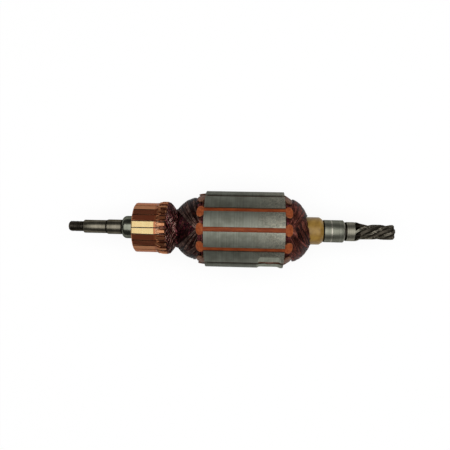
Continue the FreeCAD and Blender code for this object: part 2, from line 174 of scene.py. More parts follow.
def laminatedCore():
    # stamped silicon steel sheets ground as one: grey-green, with a line at each sheet's edge; painted
    # highlights in flecks near the front end; real sheets are 0.5 mm thick and these are drawn coarser
    look = {"sheet": 0.8, "dark": "#676960", "light": "#74766c", "rust": "#8f8878", "rustSize": 6,
            "rustShare": 0.35, "glintSize": 0.9, "glintReach": 24, "paintedHighlight": "#a39c8c", "roughness": 0.52,
            "edge": "#b0b0b0"}
    aroundScale = 25
    material, tree = newMaterial("ground_core_laminations")
    place = addNode(tree, "TexCoord").outputs["Object"]
    sheetScale = (1 / (look["sheet"] * mm), aroundScale, aroundScale)
    sheets = addNode(tree, "Mapping", {"Scale": sheetScale}, {"Vector": place})
    lines = addNode(tree, "TexNoise", {"Scale": 1.0, "Detail": 2.0, "Roughness": 0.5}, {"Vector": sheets})
    cloud = addNode(tree, "TexNoise", {"Scale": 1 / (look["rustSize"] * mm), "Detail": 5.0},
                    {"Vector": place})
    tone = addNode(tree, "ValToRGB", {"ramp": [(0.3, look["dark"]), (0.7, look["light"])]}, {0: lines})
    rust = addNode(tree, "ValToRGB", {"ramp": [(0.35, look["rust"]), (0.6, "#ffffff")]}, {0: cloud})
    colour = addNode(tree, "Mix", {"data_type": "RGBA", "blend_type": "MULTIPLY", 0: look["rustShare"]},
                     {6: tone, 7: rust})
    # painted highlight: pale glints mixed in near the front end, where the light falls brighter
    glintCloud = addNode(tree, "TexNoise",
                         {"Scale": 1 / (look["glintSize"] * mm), "Detail": 4.0, "Roughness": 0.7},
                         {"Vector": place})
    glintTone = addNode(tree, "MapRange", {"From Min": 0.42, "From Max": 0.72}, {0: glintCloud})
    along = addNode(tree, "SeparateXYZ", {}, {0: place})
    frontEnd = (coreMiddle + coreHalf) * mm
    nearFront = addNode(tree, "MapRange",
                        {"From Min": frontEnd - look["glintReach"] * mm, "From Max": frontEnd},
                        {0: along})
    glints = addNode(tree, "Math", {"operation": "MULTIPLY"}, {0: glintTone, 1: nearFront})
    paintedHighlight = addNode(tree, "Mix", {"data_type": "RGBA", 7: look["paintedHighlight"]},
                     {0: glints, 6: colour.outputs[2]})
    bump = addNode(tree, "Bump", {"Strength": 0.3, "Distance": 0.03 * mm}, {"Height": lines})
    shader = addNode(tree, "BsdfPrincipled",
                     {"Metallic": 0.85, "Roughness": look["roughness"], "Specular Tint": look["edge"]},
                     {"Base Color": paintedHighlight.outputs[2], "Normal": bump})
    return finishMaterial(material, shader)


def turnedCopper(name, look):
    # hard-drawn copper that ran under brushes: a sharp metal gleam, mixed with the broad red-brown of its
    # film; the rings are drawn coarser than the brushes leave them
    aroundScale = 60
    material, tree = newMaterial(name)
    place = addNode(tree, "TexCoord").outputs["Object"]
    ringScale = (1 / (look["ring"] * mm), aroundScale, aroundScale)
    rings = addNode(tree, "Mapping", {"Scale": ringScale}, {"Vector": place})
    grain = addNode(tree, "TexNoise", {"Scale": 1.0, "Detail": 3.0}, {"Vector": rings})
    tone = addNode(tree, "ValToRGB", {"ramp": [(0.3, look["dark"]), (0.7, look["light"])]}, {0: grain})
    bump = addNode(tree, "Bump", {"Strength": look["bump"], "Distance": 0.02 * mm}, {"Height": grain})
    polished = addNode(tree, "BsdfPrincipled",
                       {"Metallic": 1.0, "Roughness": look["roughness"], "Specular Tint": look["edge"]},
                       {"Base Color": tone, "Normal": bump})
    film = addNode(tree, "BsdfPrincipled",
                   {"Metallic": 1.0, "Roughness": look["filmRoughness"], "Base Color": look["film"]},
                   {"Normal": bump})
    shader = addNode(tree, "MixShader", {0: look["filmShare"]}, {1: polished, 2: film})
    return finishMaterial(material, shader)


# painted highlight: the track copper of the two top bars is a brighter, yellower copy of the filmed copper
highlightTrackCopper = turnedCopper("painted_highlight_track_copper", {
    "ring": 0.7, "dark": "#bbba84", "light": "#c6c892", "bump": 0.04, "roughness": 0.12,
    "edge": "#daaa95", "film": "#93402a", "filmRoughness": 0.45, "filmShare": 0.58})
filmedCopper = turnedCopper("filmed_track_copper", {
    "ring": 0.7, "dark": "#ad8860", "light": "#b8936a", "bump": 0.04, "roughness": 0.12,
    "edge": "#daaa95", "film": "#8c3c28", "filmRoughness": 0.45, "filmShare": 0.58})
riserCopper = turnedCopper("tarnished_riser_copper", {
    "ring": 0.9, "dark": "#7c5238", "light": "#a87a58", "bump": 0.3, "roughness": 0.3,
    "edge": "#ffffff", "film": "#8a3c22", "filmRoughness": 0.5, "filmShare": 0.5})
hookCopper = turnedCopper("pressed_hook_copper", {
    "ring": 1.2, "dark": "#b08058", "light": "#d4a47c", "bump": 0.3, "roughness": 0.24,
    "edge": "#b07c60", "film": "#7a4028", "filmRoughness": 0.5, "filmShare": 0.65})


def enamelledWire(name, look):
    # enamelled copper wire dipped in varnish: dark red-brown, with a grey gleam along each turn
    material, tree = newMaterial(name)
    place = addNode(tree, "TexCoord").outputs["Object"]
    cloud = addNode(tree, "TexNoise",
                    {"Scale": 1 / (look["patch"] * mm), "Detail": 4.0, "Roughness": 0.65},
                    {"Vector": place})
    shades = list(zip((0.34, 0.52, 0.7), look["shades"]))
    tone = addNode(tree, "ValToRGB", {"ramp": shades}, {0: cloud})
    shader = addNode(tree, "BsdfPrincipled",
                     {"Metallic": look["metallic"], "Roughness": look["roughness"],
                      "Specular Tint": "#808080"},
                     {"Base Color": tone})
    return finishMaterial(material, shader)


coilWire = enamelledWire("varnished_enamel_wire", {
    "patch": 3.0, "shades": ("#0f0605", "#240f0c", "#47251e"), "metallic": 0.6, "roughness": 0.3})
innerWire = enamelledWire("purple_enamel_wire", {
    "patch": 2.0, "shades": ("#0e0508", "#22090e", "#5c232b"), "metallic": 0.75, "roughness": 0.3})
frontWire = enamelledWire("red_brown_enamel_wire", {
    "patch": 2.5, "shades": ("#351a15", "#5c3026", "#7e4b3e"), "metallic": 0.6, "roughness": 0.3})
shadedWire = enamelledWire("dark_red_enamel_wire", {
    "patch": 2.0, "shades": ("#24100c", "#40201a", "#5e352c"), "metallic": 0.6, "roughness": 0.3})
# painted sheen: grey and pale red-brown copies of the enamel, given by lot to outer wires as highlights
rearSheenWire = enamelledWire("painted_sheen_grey_wire", {
    "patch": 2.5, "shades": ("#261b18", "#503d37", "#7d655b"), "metallic": 0.7, "roughness": 0.32})
frontSheenWire = enamelledWire("painted_sheen_red_brown_wire", {
    "patch": 2.5, "shades": ("#42221d", "#784238", "#98645a"), "metallic": 0.7, "roughness": 0.32})
# painted highlight: a pale copy of the enamel for the thin strands on the lead cone
highlightLeadWire = enamelledWire("painted_highlight_lead_wire", {
    "patch": 2.4, "shades": ("#4c342c", "#98746a", "#e4c2b6"), "metallic": 0.8, "roughness": 0.35})
besideWire = enamelledWire("wire_beside_hook", {
    "patch": 1.2, "shades": ("#20100a", "#54301f", "#8a5a40"), "metallic": 0.7, "roughness": 0.35})
pinkWire = enamelledWire("new_enamel_wire", {
    "patch": 1.5, "shades": ("#3a1318", "#6b2c33", "#a05a60"), "metallic": 0.6, "roughness": 0.3})
leadWire = enamelledWire("varnished_lead_wire", {
    "patch": 1.5, "shades": ("#120806", "#2c140e", "#5e3628"), "metallic": 0.7, "roughness": 0.3})
# painted highlight: a bright copy of the loop wire for the loops on the two top bars
highlightLoopWire = enamelledWire("painted_highlight_loop_wire", {
    "patch": 1.2, "shades": ("#9c6c4e", "#d0a07c", "#f0ccac"), "metallic": 0.9, "roughness": 0.42})
dullLoopWire = enamelledWire("tarnished_loop_wire", {
    "patch": 1.2, "shades": ("#5c3522", "#9c6444", "#cc9068"), "metallic": 0.9, "roughness": 0.42})
# painted shade: a near-black, dull body under the coil heads and the lead wires, for the shade between
# wires
betweenWiresShade = enamelledWire("painted_shade_between_wires", {
    "patch": 2.0, "shades": ("#0a0404", "#120707", "#1a0b0a"), "metallic": 0.0, "roughness": 0.7})


def mattResin(name, look):
    # a filled resin or pressed fibre: one colour with soft mottling and a dull surface; a grain below 1
    # draws the mottling out along the shaft
    material, tree = newMaterial(name)
    place = addNode(tree, "TexCoord").outputs["Object"]
    stretch = addNode(tree, "Mapping", {"Scale": (look.get("grain", 1), 1, 1)}, {"Vector": place})
    cloud = addNode(tree, "TexNoise",
                    {"Scale": 1 / (look["patch"] * mm), "Detail": 5.0, "Roughness": 0.6},
                    {"Vector": stretch})
    tone = addNode(tree, "ValToRGB", {"ramp": [(0.32, look["dark"]), (0.68, look["light"])]}, {0: cloud})
    bump = addNode(tree, "Bump", {"Strength": 0.3, "Distance": 0.05 * mm}, {"Height": cloud})
    shader = addNode(tree, "BsdfPrincipled",
                     {"Roughness": look["roughness"], "Specular IOR Level": look["gloss"]},
                     {"Base Color": tone, "Normal": bump})
    return finishMaterial(material, shader)


sleeveResin = mattResin("glass_filled_sleeve_resin", {
    "patch": 4.0, "dark": "#765824", "light": "#967636", "roughness": 0.4, "gloss": 0.3})
hubResin = mattResin("moulded_hub_resin", {
    "patch": 3.0, "dark": "#120906", "light": "#20110b", "roughness": 0.5, "gloss": 0.3})
# painted shade: the strip in the slot mouth is a darker copy of the tabs' fibre
shadedFibreStrip = mattResin("painted_shade_fibre_strip", {
    "grain": 0.3, "patch": 1.6, "dark": "#69290d", "light": "#87401c", "roughness": 0.6, "gloss": 0.15})
fibreFace = mattResin("vulcanised_fibre", {
    "patch": 1.4, "dark": "#733012", "light": "#9b5028", "roughness": 0.6, "gloss": 0.15})
# painted shade: a darker copy of the fibre for the wedges at the sides
sideShadeFibre = mattResin("painted_shade_side_fibre", {
    "patch": 1.0, "dark": "#4a2c1e", "light": "#7c543e", "roughness": 0.55, "gloss": 0.2})
fibreEdge = mattResin("cut_fibre_edge", {
    "patch": 1.0, "dark": "#6e3a1e", "light": "#a06a48", "roughness": 0.7, "gloss": 0.15})
fibrePlate = mattResin("varnished_end_fibre", {
    "patch": 2.0, "dark": "#2a140c", "light": "#452416", "roughness": 0.5, "gloss": 0.2})
linerPaper = mattResin("slot_liner_paper", {
    "patch": 2.0, "dark": "#3a2418", "light": "#5a3c2a", "roughness": 0.8, "gloss": 0.1})
print("materials done")


def addObject(name, data):
    added = bpy.data.objects.new(name, data)
    bpy.context.scene.collection.objects.link(added)
    return added


def deselectAll():
    bpy.ops.object.select_all(action="DESELECT")


def applyPlace():
    bpy.ops.object.transform_apply(location=True, rotation=True, scale=True)


def editAll():
    bpy.ops.object.mode_set(mode="EDIT")
    bpy.ops.mesh.select_all(action="SELECT")


def leaveEdit():
    bpy.ops.object.mode_set(mode="OBJECT")


def wear(piece, *materials):
    piece.data.materials.clear()
    for material in materials:
        piece.data.materials.append(material)


def selectOnly(piece):
    if bpy.context.object and bpy.context.object.mode != "OBJECT":
        leaveEdit()
    deselectAll()
    piece.select_set(True)
    bpy.context.view_layer.objects.active = piece


def settle(piece, angle):
    # places are put into the mesh, and it is smoothed between edges sharper than the angle
    selectOnly(piece)
    applyPlace()
    bpy.ops.object.shade_smooth_by_angle(angle=math.radians(angle))


def copyOfNode(node, name):
    # a CAD node's mesh with its loose triangles merged, as a piece of its own
    piece = addObject(name, nodes[node].data.copy())
    selectOnly(piece)
    editAll()
    bpy.ops.mesh.remove_doubles(threshold=0.002 * mm)
    bpy.ops.mesh.tris_convert_to_quads(face_threshold=0.02, shape_threshold=3.1)
    leaveEdit()
    return piece


def turnedCopy(model, name, angle):
    # what repeats round the shaft is copied, each copy with its own mesh
    piece = addObject(name, model.data.copy())
    piece.data.transform(shaftTurn(angle))
    return piece


def blockAt(middle, length, width, height):
    deselectAll()
    bpy.ops.mesh.primitive_cube_add(size=1, location=middle)
    block = bpy.context.object
    block.scale = (length * mm, width * mm, height * mm)
    applyPlace()
    return block


def bevelEdges(piece, width, segments, angle=30):
    selectOnly(piece)
    bevel = piece.modifiers.new("bevel", "BEVEL")
    bevel.width = width * mm
    bevel.segments = segments
    bevel.limit_method = "ANGLE"
    bevel.angle_limit = math.radians(angle)
    bevel.use_clamp_overlap = True
    bpy.ops.object.modifier_apply(modifier="bevel")


def drawProfile(name, points):
    # a plane is shrunk to one point, which is drawn out corner by corner from (x, radius) pairs
    deselectAll()
    bpy.ops.mesh.primitive_plane_add(size=1 * mm)
    piece = bpy.context.object
    piece.name = name
    editAll()
    bpy.ops.mesh.merge(type="CENTER")
    bpy.ops.transform.translate(value=(points[0][0] * mm, 0, points[0][1] * mm))
    for (x, radius), (nextX, nextRadius) in zip(points, points[1:]):
        step = ((nextX - x) * mm, 0, (nextRadius - radius) * mm)
        bpy.ops.mesh.extrude_vertices_move(TRANSFORM_OT_translate={"value": step})
    leaveEdit()
    piece.location = aroundShaft(0, 0, 0)
    return piece


def turnPiece(name, points, steps, pitch=0, turns=1):
    # the profile is turned round the shaft; with a pitch it becomes a screw thread
    piece = drawProfile(name, points)
    screw = piece.modifiers.new("turn", "SCREW")
    screw.axis = "X"
    screw.steps = steps
    screw.render_steps = steps
    screw.iterations = turns
    screw.screw_offset = pitch * mm
    screw.use_merge_vertices = True
    screw.merge_threshold = 0.001 * mm
    bpy.ops.object.modifier_apply(modifier="turn")
    applyPlace()
    editAll()
    bpy.ops.mesh.remove_doubles(threshold=0.002 * mm)
    bpy.ops.mesh.normals_make_consistent(inside=False)
    leaveEdit()
    return piece


def cutPiece(piece, x, keepFront):
    # cut across the shaft at x, and close the cut
    selectOnly(piece)
    editAll()
    bpy.ops.mesh.bisect(plane_co=aroundShaft(x, 0, 0), plane_no=(1, 0, 0), use_fill=True,
                        clear_inner=keepFront, clear_outer=not keepFront)
    leaveEdit()


def joinPieces(first, *others):
    selectOnly(first)
    for piece in others:
        piece.select_set(True)
    bpy.ops.object.join()


def drawWires(name, paths, diameter, materials, fine=1, chance=None):
    # a tube along each path; with a chance given, each wire takes one of the materials by lot
    curve = bpy.data.curves.new(name, "CURVE")
    curve.dimensions = "3D"
    curve.bevel_depth = diameter / 2 * mm
    curve.bevel_resolution = fine
    curve.use_fill_caps = True
    for material in materials:
        curve.materials.append(material)
    for path in paths:
        spline = curve.splines.new("POLY")
        spline.points.add(len(path) - 1)
        if chance:
            spline.material_index = chance.randrange(len(materials))
        for point, place in zip(spline.points, path):
            point.co = (*place, 1)
    selectOnly(addObject(name, curve))
    bpy.ops.object.convert(target="MESH")
    wires = bpy.context.object
    wires.name = name
    bpy.ops.object.shade_smooth()
    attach(wires, "root")
    return wires


# the camera stands over the middle of the core and leans a little towards the commutator; mm and degrees
view = {"lens": 36.64, "sensor": 36, "height": 311.0, "alongShaft": 2.45, "acrossShaft": 2.75, "lean": 2.9,
        "roll": 1.16}


def placeCamera():
    lean = math.radians(view["lean"])
    roll = math.radians(view["roll"])
    level = Vector((math.cos(lean), 0, -math.sin(lean)))
    across = Vector((0, 1, 0))
    right = level * math.cos(roll) + across * math.sin(roll)
    up = across * math.cos(roll) - level * math.sin(roll)
    turn = Matrix((right, up, right.cross(up))).transposed().to_4x4()
    eye = aroundShaft(view["alongShaft"], view["height"], 0)
    eye.y = view["acrossShaft"] * mm
    data = bpy.data.cameras.new("photo_camera")
    data.sensor_width = view["sensor"]
    data.lens = view["lens"]
    camera = addObject("photo_camera", data)
    camera.matrix_world = Matrix.Translation(eye) @ turn
    bpy.context.scene.camera = camera


# one wide soft lamp hangs over a white table in a dim room; in metres
studio = {"lampLength": 2.1, "lampWidth": 1.05, "lampHeight": 1.03, "lampRadiance": 2.5, "lampAlong": 0.05,
          "room": "#fffdf8", "roomLight": 0.1, "tableSize": 6.0, "tableDrop": 0.02 * mm, "tableGlow": 0.9}


def hangLamp():
    data = bpy.data.lights.new("overhead_softbox", "AREA")
    data.shape = "RECTANGLE"
    data.size = studio["lampLength"]
    data.size_y = studio["lampWidth"]
    data.energy = studio["lampRadiance"] * math.pi * studio["lampLength"] * studio["lampWidth"]
    lamp = addObject("overhead_softbox", data)
    lamp.location = (coreMiddle * mm + studio["lampAlong"], 0, studio["lampHeight"])


def paintRoom():
    world = bpy.data.worlds.new("pale_room")
    world.use_nodes = True
    bpy.context.scene.world = world
    tree = world.node_tree
    tree.nodes.clear()
    room = addNode(tree, "Background", {"Color": studio["room"], "Strength": studio["roomLight"]})
    addNode(tree, "OutputWorld", {}, {"Surface": room})


def layTable():
    # the camera and reflections see the table glow white, and its paint keeps the object's shadow
    deselectAll()
    bpy.ops.mesh.primitive_plane_add(size=studio["tableSize"], location=(0, 0, -studio["tableDrop"]))
    table = bpy.context.object
    table.name = "white_table"
    applyPlace()
    material, tree = newMaterial("white_table_paint")
    path = addNode(tree, "LightPath")
    cameraOrGloss = addNode(tree, "Math", {"operation": "MAXIMUM"},
                            {0: path.outputs["Is Camera Ray"], 1: path.outputs["Is Glossy Ray"]})
    seen = addNode(tree, "Math", {"operation": "MAXIMUM"},
                   {0: cameraOrGloss, 1: path.outputs["Is Transmission Ray"]})
    share = addNode(tree, "Math", {"operation": "MULTIPLY", 1: studio["tableGlow"]}, {0: seen})
    paint = addNode(tree, "BsdfDiffuse", {"Color": (1, 1, 1, 1)})
    glow = addNode(tree, "Emission", {"Color": (1, 1, 1, 1), "Strength": 1.0})
    mixed = addNode(tree, "MixShader", {}, {0: share, 1: paint, 2: glow})
    wear(table, finishMaterial(material, mixed))


placeCamera()
hangLamp()
paintRoom()
layTable()
print("camera, lamp and table done")


# the shaft is turned from one profile, given as (x, radius) corners
hiddenRadius = 6.0
neckRadius = 6.4
collarStart, collarEnd = -82.9, -73.9
sleeveStart, sleeveEnd = -49.0, 52.1
shaft = {"sides": 96, "pinionStart": 72.95}
shaftProfile = [
    # root of the thread, and its run-out
    (-111.4, 0), (-111.4, 2.89), (-110.6, 2.89), (-110.2, 3.3),
    # seat of the fan, with both ends chamfered
    (-110.2, 4.1), (-110.05, 4.35), (-109.8, 4.5), (-94.6, 4.5), (-94.25, 4.36),
    # seat of the rear bearing, with its lead-in, and the groove at the collar
    (-94.1, 4.62), (-93.9, 4.82), (-93.55, 4.96), (-93.2, 5.0), (-83.95, 5.0), (-83.8, 4.9), (-83.8, 4.65),
    (collarStart, 4.65),
    # body under the commutator and the core, and the groove at the sleeve's end
    (collarStart, hiddenRadius), (sleeveEnd, hiddenRadius), (sleeveEnd, 7.15), (52.9, 7.15),
    # seat of the front bearing, with a narrow ring painted bright as a highlight
    (52.9, 7.4), (53.0, 7.5), (57.3, 7.5), (57.95, 7.5), (65.5, 7.5), (66.0, 7.08), (66.1, 6.7),
    # relief groove, and the neck up to the pinion
    (66.1, neckRadius), (66.5, neckRadius), (66.6, 6.15), (67.7, 6.15), (67.8, neckRadius),
    (shaft["pinionStart"], neckRadius), (shaft["pinionStart"], 0)]

# where each finish starts along the shaft, from the threaded end on
shaftFinish = [
    (-200, threadSteel), (-110.25, seatSteel), (-94.8, grooveShadeSteel), (-93.5, seatSteel),
    (-83.9, grooveShadeSteel), (52.88, journalSteel), (57.3, ringHighlightSteel), (57.95, journalSteel),
    (65.5, ringHighlightSteel), (65.95, journalSteel), (66.45, grooveShadeSteel), (67.75, neckSteel),
    (72.9, pinionSteel)]

# a rolled M7 thread; its shape is given as shares of the pitch, and the nose in front of it in mm
thread = {"nose": -120.7, "end": -110.2, "crest": 3.5, "root": 2.89, "pitch": 1.0, "sides": 36,
          "noseCut": 1.0, "endCut": 0.5}
threadShape = [(0, "root"), (0.1, "root"), (0.42, "crest"), (0.56, "crest"), (0.88, "root"), (1, "root")]
noseShape = [(0, 0), (0, 2.25), (0.25, 2.75), (0.6, 3.08), (1.0, 3.26), (1.3, 3.2), (1.6, 2.7), (1.6, 0)]


def threadedStub():
    nose = thread["nose"]
    start = nose - thread["pitch"]
    turns = int(thread["end"] - nose) + 1
    tooth = [(start + share * thread["pitch"], thread[level]) for share, level in threadShape]
    stub = turnPiece("threaded_stub", tooth, thread["sides"], thread["pitch"], turns)
    cutPiece(stub, nose + thread["noseCut"], True)
    cutPiece(stub, thread["end"] - thread["endCut"], False)
    rounded = [(nose + x, radius) for x, radius in noseShape]
    joinPieces(stub, turnPiece("nose", rounded, thread["sides"]))
    return stub


# the pinion: swell gives (x, share of the radius); above the tip line the teeth are painted lighter, a
# highlight, and up to the gash-shade place along the shaft the gashes are painted dark as shade
pinion = {"swell": [(74.6, 1.0), (75.3, 1.035), (76.0, 1.066), (77.0, 1.12), (78.0, 1.07), (79.5, 1.024),
                    (81.5, 1.0)],
          "tipRadius": 5.0, "taperStart": 74.6, "taperLength": 4.5, "tipDepth": 0.35, "neckTo": 77.0,
          "gashShadeTo": 76.5, "finish": [tipHighlightSteel, neckSteel, grooveShadeSteel]}


def helicalPinion():
    # the teeth come from the CAD shaft, and the blank under their run-out gets a longer, softer taper
    piece = copyOfNode("shaft", "helical_pinion")
    cutPiece(piece, shaft["pinionStart"], True)
    for vertex in piece.data.vertices:
        x = alongShaft(vertex.co)
        for (start, startSwell), (end, endSwell) in zip(pinion["swell"], pinion["swell"][1:]):
            if start <= x < end:
                swell = startSwell + (endSwell - startSwell) * (x - start) / (end - start)
                vertex.co.y *= swell
                vertex.co.z = axisHeight * mm + (vertex.co.z - axisHeight * mm) * swell
    return piece


def finishShaft(piece):
    # each ring of faces wears the finish of its seat, and the teeth wear one by height and place
    wear(piece, *[finish for start, finish in shaftFinish], *pinion["finish"])
    tip, neck, groove = range(len(shaftFinish), len(shaftFinish) + len(pinion["finish"]))
    for face in piece.data.polygons:
        x = alongShaft(face.center)
        face.material_index = sum(1 for start, finish in shaftFinish if x > start) - 1
        if x > shaft["pinionStart"] + 0.01:
            taper = max(0, 1 - (x - pinion["taperStart"]) / pinion["taperLength"])
            tipLine = min(pinion["tipRadius"] + (neckRadius - pinion["tipRadius"]) * taper, neckRadius)
            if fromAxis(face.center) > tipLine - pinion["tipDepth"]:
                face.material_index = neck if x < pinion["neckTo"] else tip
            # the gashes near the neck get the painted shade
            elif x < pinion["gashShadeTo"]:
                face.material_index = groove


def turnedShaft():
    piece = turnPiece("turned_shaft", shaftProfile, shaft["sides"])
    joinPieces(piece, helicalPinion(), threadedStub())
    finishShaft(piece)
    settle(piece, 30)
    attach(piece, "root")
    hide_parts("shaft")


# the steel collar with its round shoulder, and the resin sleeve with its chamfered end
rings = {
    "sides": 96,
    "collar": [(collarStart, hiddenRadius), (collarStart, 5.9), (-82.85, 6.2), (-82.5, 6.75), (-81.9, 7.25),
               (-81.1, 7.58), (-80.2, 7.7), (-74.2, 7.7), (collarEnd, 7.55), (collarEnd, hiddenRadius),
               (collarStart, hiddenRadius)],
    "sleeve": [(sleeveStart, hiddenRadius), (sleeveStart, 9.25), (49.4, 9.25), (49.8, 9.18), (50.2, 8.98),
               (51.6, 8.0), (51.9, 7.72), (sleeveEnd, 7.4), (sleeveEnd, hiddenRadius),
               (sleeveStart, hiddenRadius)]}


def turnedRings():
    collar = turnPiece("steel_collar", rings["collar"], rings["sides"])
    wear(collar, collarSteel)
    settle(collar, 40)
    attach(collar, "root")
    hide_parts("bearing_spacer_collar")
    sleeve = turnPiece("resin_sleeve", rings["sleeve"], rings["sides"])
    wear(sleeve, sleeveResin)
    settle(sleeve, 40)
    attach(sleeve, "root")
    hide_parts("insulating_sleeve")


# the shallow cut that balances the armature: the CAD core has its middle, at solidAngle, and two shallower
# passes, given as (angle, depth), take it a little further up and down
mill = {"passes": [(57.5, 0.85), (84.0, 0.9)], "start": 8.0, "end": 24.9, "coreRadius": 25.6, "runOut": 3.0,
        "cutterWidth": 40, "cutterHeight": 10, "solidAngle": 67.5, "floor": 24.2, "skin": 0.1,
        "facing": 0.9}


def balanceCutter(angle, depth):
    middle = (mill["start"] + mill["end"]) / 2
    height = mill["coreRadius"] - depth + mill["cutterHeight"] / 2
    length = mill["end"] - mill["start"]
    cutter = blockAt(aroundShaft(middle, height, 0), length, mill["cutterWidth"], mill["cutterHeight"])
    bevelEdges(cutter, mill["runOut"], 8)
    cutter.data.transform(shaftTurn(angle))
    wear(cutter, milledSteel)
    return cutter


def balancedCore():
    core = copyOfNode("core_stack", "balanced_core")
    wear(core, laminatedCore(), milledSteel)
    for angle, depth in mill["passes"]:
        cutter = balanceCutter(angle, depth)
        selectOnly(core)
        boolean = core.modifiers.new("mill", "BOOLEAN")
        boolean.object = cutter
        boolean.solver = "EXACT"
        boolean.material_mode = "TRANSFER"
        bpy.ops.object.modifier_apply(modifier="mill")
        bpy.data.objects.remove(cutter)
    # the CAD core's own cut is what faces outward there and lies below the ground surface
    tilt = math.radians(mill["solidAngle"])
    outward = Vector((0, -math.sin(tilt), math.cos(tilt)))
    for face in core.data.polygons:
        along = mill["start"] < alongShaft(face.center) < mill["end"]
        sunken = mill["floor"] < fromAxis(face.center) < mill["coreRadius"] - mill["skin"]
        if along and sunken and face.normal.dot(outward) > mill["facing"]:
            face.material_index = 1
    settle(core, 25)
    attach(core, "root")
    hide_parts("core_stack")


turnedShaft()
turnedRings()
balancedCore()
wear(nodes["commutator_hub"], hubResin)
wear(nodes["end_fibre_rear"], fibrePlate)
wear(nodes["end_fibre_front"], fibrePlate)
wear(nodes["coil_sides"], innerWire)
for k in range(12):
    wear(nodes["slot_liner_%02d" % (k + 1)], linerPaper)
print("shaft, sleeve and core done")


# copper bars: the CAD bar with its edges broken; the two bars on top wear a brighter copper, a painted
# highlight
bars = {"count": 24, "edge": 0.14, "trackEnd": -59.0, "trackSlack": 0.1, "trackRadius": 16.8,
        "radiusSlack": 0.06, "facet": 16.73, "firstAngle": 7.5, "hookRadius": 17.0,
        "paintedHighlight": ("copper_bar_01", "copper_bar_24")}


def flattenTrack(bar):
    # each bar's track wears to a facet of its own, so that it is as bright all over as its middle
    unturn = shaftTurn(-bars["firstAngle"])
    turnBack = shaftTurn(bars["firstAngle"])
    for vertex in bar.data.vertices:
        onTrack = alongShaft(vertex.co) < bars["trackEnd"] + bars["trackSlack"]
        if onTrack and abs(fromAxis(vertex.co) - bars["trackRadius"]) < bars["radiusSlack"]:
            level = unturn @ vertex.co
            level.z = (axisHeight + bars["facet"]) * mm
            vertex.co = turnBack @ level


def copperBars():
    first = copyOfNode("commutator_bar_01", "copper_bar_01")
    flattenTrack(first)
    bevelEdges(first, bars["edge"], 2)
    wear(first, riserCopper, highlightTrackCopper, hookCopper)
    for face in first.data.polygons:
        if alongShaft(face.center) < bars["trackEnd"]:
            face.material_index = 1
        elif fromAxis(face.center) > bars["hookRadius"]:
            face.material_index = 2
    settle(first, 20)
    for k in range(bars["count"]):
        bar = first
        if k:
            bar = turnedCopy(first, "copper_bar_%02d" % (k + 1), k * 360 / bars["count"])
        # all bars but the two on top swap the painted highlight copper for the filmed copper
        if bar.name not in bars["paintedHighlight"]:
            bar.data.materials[1] = filmedCopper
        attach(bar, "root")
        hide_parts("commutator_bar_%02d" % (k + 1))


copperBars()
print("copper bars done")


# slot wedges: a strip of fibre with an oval tab at each end, bent down over the coil heads; the slopes are
# the front (1) and the rear (-1) tab's, and at the sides the rear tabs stand up more than the others
wedges = {"count": 12, "top": 23.95, "thickness": 0.9, "halfWidth": 3.3, "overhang": 0.6, "tabLength": 5.4,
          "tabHalf": 3.9, "tabGap": 0.05, "tabCorners": 32, "squareness": 2.3, "edge": 0.22,
          "paintFrom": 0.3, "flat": 0.88, "sideShaded": (2, 3, 9, 10),
          "kinds": {3: "side", 9: "side", 2: "shoulder", 10: "shoulder"},
          "slopes": {"usual": {1: 23.0, -1: 23.0}, "side": {1: 34.0, -1: 8.0},
                     "shoulder": {1: 26.0, -1: 13.0}}}


def fibreTab(side, slopeAngle):
    # a circle is pulled to a squarish oval, laid at the slope and given its thickness
    deselectAll()
    bpy.ops.mesh.primitive_circle_add(vertices=wedges["tabCorners"], radius=1, fill_type="NGON")
    tab = bpy.context.object
    power = 2 / wedges["squareness"]
    for vertex in tab.data.vertices:
        turn = math.atan2(vertex.co.y, vertex.co.x)
        along = math.copysign(abs(math.cos(turn)) ** power, math.cos(turn))
        across = math.copysign(abs(math.sin(turn)) ** power, math.sin(turn))
        vertex.co.x = along * wedges["tabLength"] / 2 * mm
        vertex.co.y = across * wedges["tabHalf"] * mm
    outward = wedges["tabLength"] / 2 + wedges["tabGap"]
    drop = outward * math.tan(math.radians(slopeAngle))
    centre = aroundShaft(side * (coreHalf + outward), wedges["top"] - drop, 0)
    slope = Matrix.Rotation(math.radians(side * slopeAngle), 4, "Y")
    tab.data.transform(Matrix.Translation(centre) @ slope)
    editAll()
    down = slope @ Vector((0, 0, -wedges["thickness"] * mm))
    bpy.ops.mesh.extrude_region_move(TRANSFORM_OT_translate={"value": down})
    bpy.ops.mesh.select_all(action="SELECT")
    bpy.ops.mesh.normals_make_consistent(inside=False)
    leaveEdit()
    return tab


def fibreWedge(slopes):
    tabs = [fibreTab(side, slopes[side]) for side in (1, -1)]
    middle = wedges["top"] - wedges["thickness"] / 2
    length = 2 * coreHalf + 2 * wedges["overhang"]
    strip = blockAt(aroundShaft(0, middle, 0), length, 2 * wedges["halfWidth"], wedges["thickness"])
    joinPieces(strip, *tabs)
    strip.name = "fibre_wedge_01"
    wear(strip, shadedFibreStrip)
    bevelEdges(strip, wedges["edge"], 2, 60)
    wear(strip, shadedFibreStrip, fibreFace, fibreEdge)
    for face in strip.data.polygons:
        if abs(alongShaft(face.center)) > coreHalf + wedges["paintFrom"]:
            face.material_index = 1 if abs(face.normal.z) > wedges["flat"] else 2
    settle(strip, 25)
    return strip


